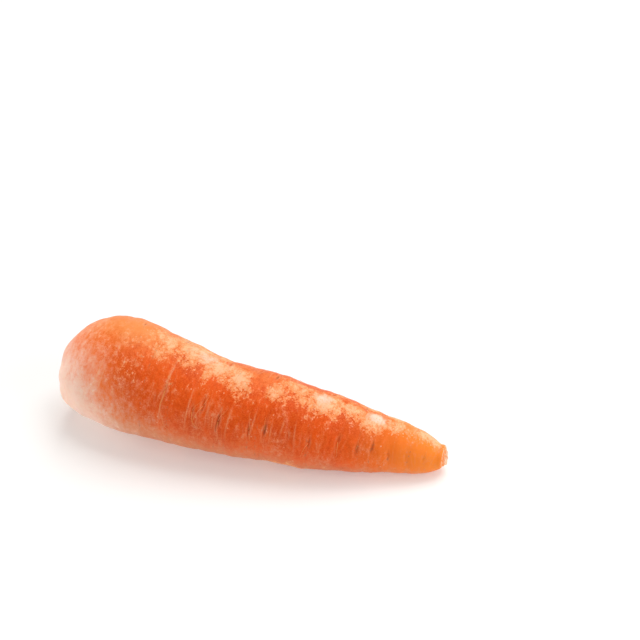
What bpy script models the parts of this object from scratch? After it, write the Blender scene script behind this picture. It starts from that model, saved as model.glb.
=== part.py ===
"""A whole carrot root, trimmed of its leaves and lying on its side.

The root runs along X, from its crown at -X to its tip at +X, and rests on z = 0. It is turned as a round blank
standing on its tip, and then each point is moved: the blank is laid down on a bent centre line, and its skin gets
swellings, cross waves and the scars of its side roots. The stubs of the cut leaf stalks are joined to the crown, and
the underside is trimmed flat where the root rests.
"""

import math
import random

import bmesh
import bpy
import numpy as np
from mathutils import Euler, Matrix, Vector

MM = 0.001

# Driving dimensions, in millimetres
LENGTH = 157.0
WIDEST_RADIUS = 22.3
FLAT_DEPTH = 0.5

# The outline of half the root, from the bottom of the crown pit to the tip: (distance from the crown, radius)
OUTLINE = [
    (3.2, 0.0),
    (3.2, 3.2),
    (2.8, 6.0),
    (1.2, 7.6),
    (0.1, 8.8),
    (0.3, 10.4),
    (1.6, 12.5),
    (4.0, 15.1),
    (7.5, 17.6),
    (12.0, 19.7),
    (18.0, 21.4),
    (25.0, WIDEST_RADIUS),
    (30.0, WIDEST_RADIUS),
    (36.0, 21.8),
    (44.0, 20.8),
    (54.0, 20.0),
    (67.0, 18.6),
    (82.0, 17.5),
    (97.0, 16.4),
    (109.0, 15.2),
    (121.0, 13.3),
    (133.0, 11.0),
    (142.0, 9.3),
    (147.5, 8.0),
    (151.0, 6.6),
    (153.6, 5.2),
    (155.2, 4.6),
    (156.3, 3.8),
    (156.8, 2.0),
    (LENGTH, 0.0),
]
RINGS = 66
RING_BUNCHING = 0.35
SIDES = 36

# The bent centre line at each distance from the crown: its shift to the side, and how its ends sink or lift
SIDEWAYS = [
    (0.0, -0.8),
    (17.0, -1.5),
    (42.0, -4.6),
    (70.0, -6.6),
    (103.0, -5.1),
    (122.0, -2.9),
    (140.0, 0.5),
    (LENGTH, 3.0),
]
END_LIFT = [
    (0.0, -4.0),
    (8.0, -1.8),
    (18.0, -0.3),
    (26.0, 0.0),
    (138.0, 0.0),
    (147.0, 0.1),
    (153.0, 1.5),
    (LENGTH, 4.0),
]
SHOULDER_END = 28.0

# Round the root, 0 degrees is +Y, 90 is up, 180 is -Y and 270 is down.
# The section is a little oval and a little three-cornered: (corners, share of the radius, turned by, twist per mm)
LOBES = [(2, 0.012, 25.0, 0.25), (3, 0.010, 80.0, -0.35)]

# Broad swellings and hollows: (distance from the crown, degrees round, height, reach along, reach round in degrees)
SWELLINGS = [
    (33.0, 52.0, 0.3, 11.0, 50.0),
    (66.0, 50.0, -0.7, 8.0, 45.0),
    (86.0, 55.0, 0.6, 8.0, 45.0),
    (101.0, 50.0, -0.3, 6.0, 40.0),
    (92.0, 225.0, -0.5, 9.0, 35.0),
    (104.0, 228.0, 0.5, 7.0, 40.0),
    (57.0, 150.0, 0.4, 10.0, 35.0),
    (77.0, 345.0, 0.6, 12.0, 40.0),
    (117.0, 350.0, -0.4, 9.0, 40.0),
    (22.0, 330.0, 0.5, 12.0, 45.0),
    (77.0, 270.0, -0.8, 18.0, 40.0),
]

# Cross waves left by growth: (wave length, height, degrees by which a wave's wandering is turned round the root).
# A wave wanders ahead and back once round the root, and by a share of that twice round it.
WAVES = [(23.0, 0.10, 40.0), (9.1, 0.07, 75.0), (5.3, 0.05, 130.0)]
TWICE_SHARE = 0.6

# Folds that run from the crown's rim over the shoulder: how many, height, distance of the highest, and reach.
# They stand unevenly, by up to this many degrees of a fold.
CROWN_FOLDS = (7, 0.45, 1.5, 6.0)
FOLD_WANDER = 50.0

# The relief fades in between these radii, away from the tip's end and the crown's middle
RELIEF_RADII = (4.0, 11.0)

# Side roots leave scars in four rows. The row that faces -Y: (distance from the crown, degrees round)
FRONT_SCARS = [
    (50.0, 138.0),
    (61.5, 152.0),
    (65.5, 141.0),
    (72.0, 156.0),
    (84.0, 159.0),
    (90.0, 155.0),
    (99.0, 155.0),
    (107.0, 160.0),
    (117.5, 149.0),
    (124.5, 158.0),
    (130.0, 149.0),
    (136.0, 161.0),
    (142.5, 159.0),
    (149.0, 153.0),
]
# The other rows: where they face, where they start and end, and the least and most that their scars may vary
OTHER_ROWS = [65.0, 248.0, 338.0]
ROW_START = 21.0
ROW_END = 147.0
ROW_SPACING = 12.0
SPACING_SHARES = (0.55, 1.35)
SIZE_SHARES = (0.6, 1.0)
ROW_WANDER = 8.0
SCAR_SEED = 7

# A scar is a short slit across the root, in a longer and shallower furrow: its depth, and its reach along and round
SLIT = (0.8, 1.1, 3.0)
FURROW = (0.2, 1.7, 8.0)

# Faces this close to a slit, in millimetres, are split in four, first all and then the closer ones again
SPLIT_MARGINS = (1.7, 0.2)

# Stubs of the cut leaf stalks, ring by ring: (stubs, distance from the axis, width, thickness, height above the rim)
STUB_RINGS = [(1, 0.0, 2.2, 2.0, -0.4), (4, 2.4, 3.2, 2.0, -0.1), (7, 4.9, 3.9, 2.1, -0.6)]
STUB_SIDES = 8
STUB_RADII = (0.55, 0.5)
STUB_ROOT = 6.0
STUB_LEAN = 9.0

# How stubs vary: their place in the ring, their thickness, their length in millimetres and their tilt in degrees
STUB_STEP_SPREAD = 0.12
STUB_SHARES = (0.88, 1.12)
STUB_LENGTH_SPREAD = 0.4
STUB_TILT = 5.0
STUB_SEED = 3

# The block that trims the underside: its length, width and height
CUTTER_SIZE = (190.0, 95.0, 16.0)

SKIN_COLOUR = (0.79, 0.16, 0.022, 1.0)
SKIN_ROUGHNESS = 0.52
SHARP_ANGLE = 40.0


def clear_scene():
    for obj in list(bpy.data.objects):
        bpy.data.objects.remove(obj)


def new_collection(name):
    collection = bpy.data.collections.new(name)
    bpy.context.scene.collection.children.link(collection)
    return collection


def move_to(obj, collection):
    for old in obj.users_collection:
        old.objects.unlink(obj)
    collection.objects.link(obj)


def get_points(mesh):
    """The mesh's points in millimetres, one row each."""
    points = np.empty(len(mesh.vertices) * 3)
    mesh.vertices.foreach_get("co", points)
    return points.reshape(-1, 3) / MM


def set_points(mesh, points):
    mesh.vertices.foreach_set("co", (points * MM).ravel())
    mesh.update()


def spline(knots, at):
    """A smooth curve through (place, value) knots, read at each place in at."""
    places, values = np.array(knots).T
    slopes = np.gradient(values, places)
    span = np.clip(np.searchsorted(places, at) - 1, 0, len(places) - 2)
    width = places[span + 1] - places[span]
    t = np.clip((at - places[span]) / width, 0.0, 1.0)
    start = values[span] * (1 + 2 * t) * (1 - t) ** 2 + slopes[span] * width * t * (1 - t) ** 2
    end = values[span + 1] * (3 - 2 * t) * t**2 + slopes[span + 1] * width * t**2 * (t - 1)
    return start + end


def outline_points():
    """Points along the outline, closer together at its ends, as distances from the crown and radii."""
    distances, radii = np.array(OUTLINE).T
    way = np.concatenate([[0.0], np.cumsum(np.hypot(np.diff(distances), np.diff(radii)))])
    share = np.linspace(0.0, 1.0, RINGS + 1)
    at = way[-1] * (share - RING_BUNCHING * np.sin(2 * math.pi * share) / (2 * math.pi))
    along = spline(list(zip(way, distances)), at)
    radius = spline(list(zip(way, radii)), at)
    radius[[0, -1]] = 0.0
    return along, radius


def turned_blank():
    """The outline turned round Z, as a mesh that stands on its tip."""
    along, radius = outline_points()
    mesh = bpy.data.meshes.new("outline")
    points = [(r * MM, 0.0, (LENGTH - a) * MM) for a, r in zip(along, radius)]
    mesh.from_pydata(points, [(i, i + 1) for i in range(RINGS)], [])
    outline = bpy.data.objects.new("outline", mesh)
    bpy.context.scene.collection.objects.link(outline)
    turn = outline.modifiers.new("turn", "SCREW")
    turn.axis = "Z"
    turn.steps = SIDES
    turn.render_steps = SIDES
    turn.use_merge_vertices = True
    turn.merge_threshold = 0.05 * MM
    graph = bpy.context.evaluated_depsgraph_get()
    blank = bpy.data.meshes.new_from_object(outline.evaluated_get(graph))
    bpy.data.objects.remove(outline)
    return blank


def round_places(points):
    """Where points of the standing blank are: distance from the crown, degrees round and radius."""
    depth, height, up = points.T
    return LENGTH - up, np.degrees(np.arctan2(height, depth)), np.hypot(height, depth)


def scars():
    """Every side-root scar, as (distance from the crown, degrees round, share of the full size)."""
    draw = random.Random(SCAR_SEED)
    found = [(along, facing, 1.0) for along, facing in FRONT_SCARS]
    for row in OTHER_ROWS:
        along = ROW_START + draw.uniform(0.0, ROW_SPACING)
        while along < ROW_END:
            facing = row + draw.uniform(-ROW_WANDER, ROW_WANDER)
            found.append((along, facing, draw.uniform(*SIZE_SHARES)))
            along += ROW_SPACING * draw.uniform(*SPACING_SHARES)
    return found


def turned_from(facing, angle):
    """How far angle is from facing, between -180 and 180 degrees."""
    return (angle - facing + 180.0) % 360.0 - 180.0


def bell(distance, reach):
    return np.exp(-((distance / reach) ** 2))


def dent(shape, ahead, across, size):
    """The height of one dent in the skin, below zero."""
    depth, reach_along, reach_round = shape
    return -depth * size * bell(ahead, reach_along) * bell(across, reach_round * size)


def skin_relief(along, angle, radius):
    """How far the skin stands out from the turned blank, in millimetres."""
    relief = np.zeros_like(along)
    for corners, share, turn, twist in LOBES:
        relief += radius * share * np.cos(np.radians(corners * (angle - turn - twist * along)))
    for place, facing, height, reach, spread in SWELLINGS:
        relief += height * bell(along - place, reach) * bell(turned_from(facing, angle), spread)
    for length, height, lead in WAVES:
        ahead = np.sin(np.radians(angle + lead)) + TWICE_SHARE * np.sin(np.radians(2 * angle - lead))
        relief += height * np.sin(2 * math.pi * along / length + ahead)
    count, height, place, reach = CROWN_FOLDS
    folded = count * angle + FOLD_WANDER * np.sin(np.radians(2 * angle))
    relief += height * bell(along - place, reach) * np.cos(np.radians(folded))
    for place, facing, size in scars():
        ahead = along - place
        across = np.radians(turned_from(facing, angle)) * radius
        relief += dent(SLIT, ahead, across, size) + dent(FURROW, ahead, across, size)
    thin, thick = RELIEF_RADII
    return relief * np.clip((radius - thin) / (thick - thin), 0.0, 1.0)


def near_slit(points, margin):
    """Which of the standing blank's points are within the margin of a slit."""
    along, angle, radius = round_places(points)
    _, reach_along, reach_round = SLIT
    near = np.zeros(len(points), bool)
    for place, facing, size in scars():
        ahead = along - place
        across = np.radians(turned_from(facing, angle)) * radius
        near |= (ahead / (reach_along + margin)) ** 2 + (across / (reach_round * size + margin)) ** 2 < 1.0
    return near


def refine_near_scars(mesh):
    """Splits the blank's faces where the slits will be pressed in."""
    net = bmesh.new()
    net.from_mesh(mesh)
    for margin in SPLIT_MARGINS:
        middles = np.array([face.calc_center_median() for face in net.faces]) / MM
        chosen = [face for face, near in zip(net.faces, near_slit(middles, margin)) if near]
        edges = {edge for face in chosen for edge in face.edges}
        bmesh.ops.subdivide_edges(net, edges=list(edges), cuts=1, use_grid_fill=True)
    net.to_mesh(mesh)
    net.free()


def centre_line(along):
    """The middle of the lying root at each distance from the crown, as (y, z) in millimetres."""
    body = [(distance, radius) for distance, radius in OUTLINE if distance >= SHOULDER_END]
    lying_on = spline(body, np.maximum(along, SHOULDER_END))
    return spline(SIDEWAYS, along), lying_on - FLAT_DEPTH + spline(END_LIFT, along)


def lay_down(mesh):
    """Moves each point of the standing blank to its place on the lying root."""
    along, angle, radius = round_places(get_points(mesh))
    radius = radius + skin_relief(along, angle, radius)
    side, height = centre_line(along)
    turn = np.radians(angle)
    set_points(mesh, np.column_stack([
        along - LENGTH / 2,
        side + radius * np.cos(turn),
        height + radius * np.sin(turn),
    ]))


def face_outwards(mesh):
    """Turns the faces out again, because laying the blank down mirrors it."""
    net = bmesh.new()
    net.from_mesh(mesh)
    bmesh.ops.recalc_face_normals(net, faces=net.faces)
    net.to_mesh(mesh)
    net.free()


def add_stub(name, matrix, collection):
    """One cut leaf stalk, a flattened stick that is a little thicker at its foot."""
    foot, top = STUB_RADII
    bpy.ops.mesh.primitive_cone_add(vertices=STUB_SIDES, radius1=foot, radius2=top, depth=1.0)
    stub = bpy.context.object
    stub.name = name
    stub.data.transform(matrix)
    stub.matrix_world = Matrix()
    move_to(stub, collection)


def stub_place(turn, distance, size, draw):
    """Where a stub stands: its local X points away from the root's axis, and its local Z out of the crown."""
    outward = Vector((0.0, math.cos(turn), math.sin(turn)))
    upward = Vector((-1.0, 0.0, 0.0))
    axes = Matrix((outward, upward.cross(outward), upward)).transposed()
    tilt = math.radians(draw.uniform(-STUB_TILT, STUB_TILT))
    lean = Euler((tilt, math.radians(STUB_LEAN), 0.0)).to_matrix()
    side, height = (float(value[0]) for value in centre_line(np.zeros(1)))
    foot = Vector((STUB_ROOT - LENGTH / 2, side, height)) + outward * distance
    upright = Matrix.Translation((0.0, 0.0, size[2] / 2)) @ Matrix.Diagonal((*size, 1.0))
    return Matrix.Scale(MM, 4) @ Matrix.Translation(foot) @ (axes @ lean).to_4x4() @ upright


def leaf_stalk_stubs():
    """The stubs in the crown pit, ring by ring, each leaning a little outwards."""
    draw = random.Random(STUB_SEED)
    stubs = new_collection("leaf_stalk_stubs")
    for count, distance, width, thickness, rise in STUB_RINGS:
        for number in range(count):
            step = number + draw.uniform(-STUB_STEP_SPREAD, STUB_STEP_SPREAD)
            turn = 2 * math.pi * step / count + distance
            share = draw.uniform(*STUB_SHARES)
            length = STUB_ROOT + rise + draw.uniform(-STUB_LENGTH_SPREAD, STUB_LENGTH_SPREAD)
            place = stub_place(turn, distance, (thickness * share, width * share, length), draw)
            add_stub(f"stub_{count}_{number}", place, stubs)
    return stubs


def join_all(obj, collection):
    """Joins the collection's solids to obj by one Boolean, and removes them."""
    union = obj.modifiers.new("stubs", "BOOLEAN")
    union.operation = "UNION"
    union.operand_type = "COLLECTION"
    union.collection = collection
    graph = bpy.context.evaluated_depsgraph_get()
    joined = bpy.data.meshes.new_from_object(obj.evaluated_get(graph))
    obj.modifiers.clear()
    obj.data = joined
    for stub in list(collection.objects):
        bpy.data.objects.remove(stub)
    bpy.data.collections.remove(collection)


def centre_footprint(mesh):
    """Puts the middle of the root's box over the origin."""
    points = get_points(mesh)
    middle = (points.min(axis=0) + points.max(axis=0)) / 2
    set_points(mesh, points - [middle[0], middle[1], 0.0])


def trim_underside(obj):
    """Cuts away what hangs below z = 0, which leaves the flat spots that the root rests on."""
    bpy.ops.mesh.primitive_cube_add(size=MM)
    block = bpy.context.object
    block.name = "underside_cutter"
    block.scale = CUTTER_SIZE
    block.location = (0.0, 0.0, -CUTTER_SIZE[2] / 2 * MM)
    block.hide_render = True
    block.display_type = "WIRE"
    move_to(block, new_collection("cutters"))
    cut = obj.modifiers.new("underside", "BOOLEAN")
    cut.operation = "DIFFERENCE"
    cut.object = block


def skin_material():
    material = bpy.data.materials.new("carrot_skin")
    material.use_nodes = True
    shader = material.node_tree.nodes["Principled BSDF"]
    shader.inputs["Base Color"].default_value = SKIN_COLOUR
    shader.inputs["Roughness"].default_value = SKIN_ROUGHNESS
    shader.inputs["Metallic"].default_value = 0.0
    return material


def main():
    clear_scene()
    mesh = turned_blank()
    refine_near_scars(mesh)
    lay_down(mesh)
    face_outwards(mesh)
    carrot = bpy.data.objects.new("carrot", mesh)
    new_collection("carrot_parts").objects.link(carrot)
    join_all(carrot, leaf_stalk_stubs())
    centre_footprint(carrot.data)
    carrot.data.materials.clear()
    carrot.data.materials.append(skin_material())
    carrot.data.shade_smooth()
    carrot.data.set_sharp_from_angle(angle=math.radians(SHARP_ANGLE))
    trim_underside(carrot)


main()
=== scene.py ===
"""The carrot's looks: its skin, cut leaf stalks, root hairs and torn tip, in a white studio."""

import math
import random

import bpy
import numpy as np
from mathutils import Euler, Matrix, Vector, noise


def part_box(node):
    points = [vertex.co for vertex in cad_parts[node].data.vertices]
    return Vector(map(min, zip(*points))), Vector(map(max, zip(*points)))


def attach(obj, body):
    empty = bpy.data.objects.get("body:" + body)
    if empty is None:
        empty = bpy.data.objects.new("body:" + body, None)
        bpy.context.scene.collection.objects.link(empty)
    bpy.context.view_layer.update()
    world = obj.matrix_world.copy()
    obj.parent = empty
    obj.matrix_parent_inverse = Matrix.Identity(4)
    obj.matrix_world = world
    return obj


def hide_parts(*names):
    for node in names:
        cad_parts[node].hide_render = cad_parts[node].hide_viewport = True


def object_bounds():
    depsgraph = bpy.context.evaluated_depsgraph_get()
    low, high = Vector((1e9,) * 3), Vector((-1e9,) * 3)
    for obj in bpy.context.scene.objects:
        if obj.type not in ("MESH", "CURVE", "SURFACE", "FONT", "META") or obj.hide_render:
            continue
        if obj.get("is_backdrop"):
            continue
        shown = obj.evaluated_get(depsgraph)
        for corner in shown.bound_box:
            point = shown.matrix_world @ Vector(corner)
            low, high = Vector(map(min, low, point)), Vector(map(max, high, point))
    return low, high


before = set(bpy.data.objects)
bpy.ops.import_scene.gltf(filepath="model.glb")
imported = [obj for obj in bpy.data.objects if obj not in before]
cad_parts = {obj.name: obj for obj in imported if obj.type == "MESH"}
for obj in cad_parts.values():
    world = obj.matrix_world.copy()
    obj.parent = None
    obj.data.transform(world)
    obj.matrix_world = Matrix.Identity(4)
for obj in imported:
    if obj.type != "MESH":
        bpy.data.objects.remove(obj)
cad_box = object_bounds()

MM = 0.001

# The carrot's shape, in millimetres: that of the solid that the skin replaces, with shallower slits.
# The outline is in pairs of (distance from the crown, radius), from the crown pit to the tip.
LENGTH = 157.0
WIDEST_RADIUS = 22.3
FLAT_DEPTH = 0.5
OUTLINE = [
    (3.2, 0.0),
    (3.2, 3.2),
    (2.8, 6.0),
    (1.2, 7.6),
    (0.1, 8.8),
    (0.3, 10.4),
    (1.6, 12.5),
    (4.0, 15.1),
    (7.5, 17.6),
    (12.0, 19.7),
    (18.0, 21.4),
    (25.0, WIDEST_RADIUS),
    (30.0, WIDEST_RADIUS),
    (36.0, 21.8),
    (44.0, 20.8),
    (54.0, 20.0),
    (67.0, 18.6),
    (82.0, 17.5),
    (97.0, 16.4),
    (109.0, 15.2),
    (121.0, 13.3),
    (133.0, 11.0),
    (142.0, 9.3),
    (147.5, 8.0),
    (151.0, 6.6),
    (153.6, 5.2),
    (155.2, 4.6),
    (156.3, 3.8),
    (156.8, 2.0),
    (LENGTH, 0.0),
]

# The bent centre line at each distance from the crown: its shift to the side, and how its ends lie
SIDEWAYS = [
    (0.0, -0.8),
    (17.0, -1.5),
    (42.0, -4.6),
    (70.0, -6.6),
    (103.0, -5.1),
    (122.0, -2.9),
    (140.0, 0.5),
    (LENGTH, 3.0),
]
END_LIFT = [
    (0.0, -4.0),
    (8.0, -1.8),
    (18.0, -0.3),
    (26.0, 0.0),
    (138.0, 0.0),
    (147.0, 0.1),
    (153.0, 1.5),
    (LENGTH, 4.0),
]
SHOULDER_END = 28.0
TIP_START = 154.6

# Lobes: (how many, share of the radius, degrees round, degrees of twist a millimetre)
LOBES = [(2, 0.012, 25.0, 0.25), (3, 0.010, 80.0, -0.35)]

# Broad swellings and hollows: (distance from the crown, degrees round, height, reach, spread)
SWELLINGS = [
    (33.0, 52.0, 0.3, 11.0, 50.0),
    (66.0, 50.0, -0.7, 8.0, 45.0),
    (86.0, 55.0, 0.6, 8.0, 45.0),
    (101.0, 50.0, -0.3, 6.0, 40.0),
    (92.0, 225.0, -0.5, 9.0, 35.0),
    (104.0, 228.0, 0.5, 7.0, 40.0),
    (57.0, 150.0, 0.4, 10.0, 35.0),
    (77.0, 345.0, 0.6, 12.0, 40.0),
    (117.0, 350.0, -0.4, 9.0, 40.0),
    (22.0, 330.0, 0.5, 12.0, 45.0),
    (77.0, 270.0, -0.8, 18.0, 40.0),
]

# Waves along the root: (length, height, degrees that they lead by)
WAVES = [(23.0, 0.10, 40.0), (9.1, 0.07, 75.0), (5.3, 0.05, 130.0)]
TWICE_SHARE = 0.6

# Folds from the crown's rim over the shoulder: (how many, height, distance of the highest, reach)
CROWN_FOLDS = (7, 0.45, 1.5, 6.0)
FOLD_WANDER = 50.0

# The relief fades in between these radii
RELIEF_RADII = (4.0, 11.0)

# Side-root scars: the front row as (distance from the crown, degrees round), and the others' rule
FRONT_SCARS = [
    (50.0, 138.0),
    (61.5, 152.0),
    (65.5, 141.0),
    (72.0, 156.0),
    (84.0, 159.0),
    (90.0, 155.0),
    (99.0, 155.0),
    (107.0, 160.0),
    (117.5, 149.0),
    (124.5, 158.0),
    (130.0, 149.0),
    (136.0, 161.0),
    (142.5, 159.0),
    (149.0, 153.0),
]
OTHER_ROWS = [65.0, 248.0, 338.0]
ROW_START = 21.0
ROW_END = 147.0
ROW_SPACING = 12.0
SPACING_SHARES = (0.55, 1.35)
SIZE_SHARES = (0.6, 1.0)
ROW_WANDER = 8.0
SCAR_SEED = 7

# A scar's slit and its cross furrow: (depth, reach along, reach round)
SLIT = (0.45, 0.9, 2.6)
FURROW = (0.2, 1.7, 8.0)

# Rings of cut leaf stalks: (how many, distance from the middle, width, thickness, rise)
STUB_RINGS = [(1, 0.0, 2.2, 2.0, -0.4), (4, 2.4, 3.2, 2.0, -0.1), (7, 4.9, 3.9, 2.1, -0.6)]
STUB_RADII = (0.55, 0.5)
STUB_ROOT = 6.0
STUB_LEAN = 9.0
STUB_STEP_SPREAD = 0.12
STUB_SHARES = (0.88, 1.12)
STUB_LENGTH_SPREAD = 0.4
STUB_TILT = 5.0
STUB_SEED = 3
STUB_INSETS = (0.72, 0.56)

# The fine skin's net: rings, closer together at both ends, and sides, closer at the rows of scars
RINGS = 560
RING_BUNCHING = 0.2
SIDES = 168
SIDE_BUNCHING = 1.2
SIDE_BUNCH_REACH = 16.0
SIDE_SAMPLES = 1441
FRONT_ROW = 152.0

# Each scar in the front row, as (size, darkness, lean)
FRONT_LOOKS = [
    (0.85, 0.6, -0.12),
    (0.75, 0.5, -0.08),
    (1.05, 0.6, -0.12),
    (1.15, 0.9, -0.15),
    (0.85, 0.8, -0.05),
    (1.0, 0.9, -0.15),
    (0.6, 0.3, 0.0),
    (0.8, 0.7, -0.1),
    (0.8, 0.7, -0.2),
    (1.0, 0.65, -0.1),
    (0.9, 0.88, -0.1),
    (0.8, 0.5, 0.05),
    (0.5, 0.12, 0.0),
    (0.65, 0.5, -0.25),
]
OTHER_DARKNESS = (0.4, 1.0)
OTHER_LEANS = (-0.2, 0.2)

# A scar's open slit and raised lips, in millimetres, with half widths and half lengths.
# The dark core goes from nothing to full between two distances inside the slit's edge.
MARK_REACH = 4.0
SCAR_WIDTH = 0.6
SCAR_LENGTH = 3.4
SCAR_DEPTH = 0.14
SCAR_CORE = (-0.8, 0.7)
LIP_HEIGHT = 0.16
LIP_WIDTH = 0.3
LIP_LENGTH = 4.42
LIP_PALENESS = 0.42

# Thin lines beside each scar, which fade from the middle of the root towards its tip
SIDE_LINES = 2
LINE_OFFSETS = (1.6, 4.0)
LINE_TURN = 12.0
LINE_LENGTHS = (1.5, 4.0)
LINE_STRENGTHS = (0.1, 0.7)
LINE_LEANS = (-0.25, 0.2)
LINE_FADE = ([90.0, 120.0], [1.0, 0.35])

# Pale streaks on the front: (distance from the crown, degrees round, half length, lean, strength)
STREAKS = [
    (21.8, 143.0, 6.0, -0.25, 1.0),
    (23.6, 147.0, 4.5, -0.2, 0.8),
    (16.5, 168.0, 4.0, -0.3, 0.5),
    (50.5, 122.0, 6.0, -0.12, 0.9),
    (49.0, 160.0, 8.0, -0.1, 0.6),
    (60.0, 150.0, 7.0, -0.1, 0.7),
    (67.5, 148.0, 6.0, -0.08, 0.5),
    (76.0, 152.0, 6.0, -0.15, 0.6),
    (85.5, 148.0, 5.0, -0.12, 0.6),
    (101.5, 150.0, 4.0, 0.0, 0.5),
]
STREAK_WIDTH = 0.26
STREAK_HEIGHT = 0.05

# Fine relief, in millimetres: (height, reach along, reach round), then how many, where and how large.
# A crease's pale edge is (how far beside it, reach along).
BELL_CUT = 3.0
CREASE = (-0.08, 0.3, 4.0)
CREASES = 380
CREASE_PLACES = (4.0, 152.0)
CREASE_SIZES = (0.3, 1.0)
CREASE_SPREADS = (0.4, 1.3)
CREASE_EDGE = (0.25, 0.28)
PIMPLE = (0.09, 0.4, 0.45)
PIMPLES = 650
PIMPLE_PLACES = (6.0, 153.0)
PIMPLE_SIZES = (0.4, 1.2)
RELIEF_SEED = 11

# Soft lumps: (height, length), and how much longer they are round the root
UNEVEN = [(0.16, 11.0), (0.05, 3.0)]
UNEVEN_STRETCH = 1.5

# The torn end of the tap root, in millimetres; its palest side is (degrees round, spread in degrees)
TEAR_FADE = 2.2
TEAR_GRAIN = 0.9
TEAR_LEVEL = 3.0
TEAR_OCTAVES = 3
TEAR_MIDDLE = 0.9
TEAR_HEIGHT = 0.4
TIP_DOME = 0.8
TEAR_PALENESS = 0.45
TORN_SIDE = (345.0, 50.0)
RIDGES = 6.0
RIDGE_PALENESS = 0.25

# Dry pale patches, which along the crest also carry painted highlight: (distance from the crown,
# degrees round, reach along, spread in degrees, strength)
BLUSH_AND_HIGHLIGHT = [
    (44.0, 76.0, 9.0, 28.0, 0.85),
    (55.0, 76.0, 9.0, 31.0, 1.0),
    (67.0, 87.0, 9.0, 26.0, 1.0),
    (76.0, 92.0, 7.0, 26.0, 1.0),
    (91.0, 96.0, 8.0, 18.0, 0.75),
    (98.0, 74.0, 8.0, 26.0, 0.9),
    (102.0, 100.0, 6.0, 14.0, 0.6),
    (110.0, 93.0, 8.0, 25.0, 1.0),
    (120.0, 84.0, 9.0, 24.0, 0.85),
    (129.0, 96.0, 7.0, 24.0, 1.0),
    (138.0, 90.0, 8.0, 25.0, 0.85),
    (148.0, 74.0, 8.0, 36.0, 1.0),
    (54.0, 124.0, 7.0, 12.0, 0.2),
    (67.0, 118.0, 7.0, 14.0, 0.36),
    (76.0, 120.0, 6.0, 13.0, 0.4),
    (86.0, 122.0, 6.0, 13.0, 0.3),
    (32.0, 132.0, 7.0, 14.0, 0.4),
    (21.0, 103.0, 9.0, 16.0, 0.36),
    (33.0, 98.0, 8.0, 18.0, 0.42),
    (27.0, 150.0, 6.0, 14.0, 0.34),
    (50.0, 56.0, 8.0, 12.0, 0.8),
    (60.0, 57.0, 8.0, 12.0, 0.8),
    (68.0, 60.0, 5.0, 12.0, 0.9),
    (90.0, 60.0, 7.0, 12.0, 0.6),
    (112.0, 58.0, 9.0, 12.0, 0.7),
    (125.0, 58.0, 9.0, 12.0, 0.8),
    (136.0, 58.0, 8.0, 12.0, 0.8),
]

# Thin dry films and painted light, as above: a chalky film with painted light at the crown, a peach
# film with painted sheen on the crest, and painted shade with floor reflection below
CHALKY_AND_PAINTED_LIGHT = [
    (-6.0, 190.0, 16.0, 120.0, 0.7),
    (-2.0, 190.0, 27.0, 90.0, 0.62),
    (5.0, 225.0, 32.0, 58.0, 0.6),
    (108.5, 84.0, 4.0, 12.0, 0.6),
    (129.5, 84.0, 4.0, 14.0, 0.7),
    (61.0, 76.0, 6.0, 14.0, 0.45),
]
BLOOM_AND_PAINTED_SHEEN = [
    (26.0, 76.0, 20.0, 36.0, 0.9),
    (60.0, 74.0, 30.0, 34.0, 0.42),
    (105.0, 74.0, 40.0, 34.0, 0.42),
    (148.0, 66.0, 12.0, 34.0, 0.8),
    (143.0, 226.0, 17.0, 36.0, 0.6),
    (60.0, 330.0, 60.0, 60.0, 0.2),
]
PAINTED_SHADE_AND_REFLECTION = [
    (30.0, 216.0, 36.0, 42.0, 0.95),
    (95.0, 222.0, 52.0, 40.0, 0.85),
    (80.0, 290.0, 60.0, 50.0, 0.3),
]
FILMS_AND_PAINTED_LIGHT = {"chalky": CHALKY_AND_PAINTED_LIGHT, "bloom": BLOOM_AND_PAINTED_SHEEN, "dusty": PAINTED_SHADE_AND_REFLECTION}

# Bare orange spots in the midst of the dry patches, as above
BARE = [
    (74.0, 64.0, 2.4, 8.0, 1.0),
    (82.5, 64.0, 4.5, 9.0, 1.0),
    (84.5, 90.0, 4.0, 13.0, 0.5),
    (94.0, 60.0, 3.0, 7.0, 0.8),
    (102.0, 60.0, 3.5, 7.0, 0.8),
    (118.5, 64.0, 4.0, 10.0, 0.6),
]

# Dry pale patches that the photograph doesn't show: how many, and the range of each measure above
HIDDEN_BLUSH = 16
HIDDEN_RANGES = [(20.0, 145.0), (215.0, 400.0), (6.0, 16.0), (12.0, 30.0), (0.4, 0.8)]

# Where the skin turns yellower towards the tip, and which radii of the crown pit are stained
TIPWARD = (114.0, LENGTH)
PIT_STAIN = (5.5, 13.0)

# Root hairs, in millimetres: (front scar, length, radius, degrees of lean, which way round),
# then the chance and the ranges of those at the other scars, and how a hair lies on the skin
FRONT_HAIRS = [
    (0, 17.0, 0.15, -7.0, 1),
    (0, 9.0, 0.12, 7.0, -1),
    (1, 10.0, 0.12, -6.0, 1),
    (1, 6.0, 0.10, 8.0, -1),
    (2, 8.0, 0.15, -10.0, 1),
    (2, 5.0, 0.12, 14.0, -1),
    (3, 9.0, 0.12, -6.0, 1),
    (3, 8.0, 0.10, 12.0, -1),
    (4, 8.0, 0.12, 12.0, -1),
    (4, 6.0, 0.10, 30.0, 1),
    (5, 6.0, 0.10, 8.0, -1),
    (7, 7.0, 0.10, -14.0, 1),
    (8, 7.0, 0.12, 10.0, 1),
    (9, 6.0, 0.10, 4.0, -1),
    (11, 5.0, 0.09, -8.0, 1),
    (13, 4.0, 0.09, 12.0, -1),
]
HAIR_CHANCE = 0.6
HAIR_LENGTHS = (4.0, 13.0)
HAIR_RADII = (0.06, 0.09)
HAIR_LEANS = (-25.0, 25.0)
HAIR_STEP = 0.7
HAIR_ROOT = -0.2
HAIR_LIFT = 0.06
HAIR_ARCH = 0.25
ARCH_SHARES = (0.2, 0.8)
HAIR_TAPER = 0.7
HAIR_CURL = 0.06
HAIR_WANDER = (-0.22, 0.22)
HAIR_SIDES = 5
HAIR_SEED = 5

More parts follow.
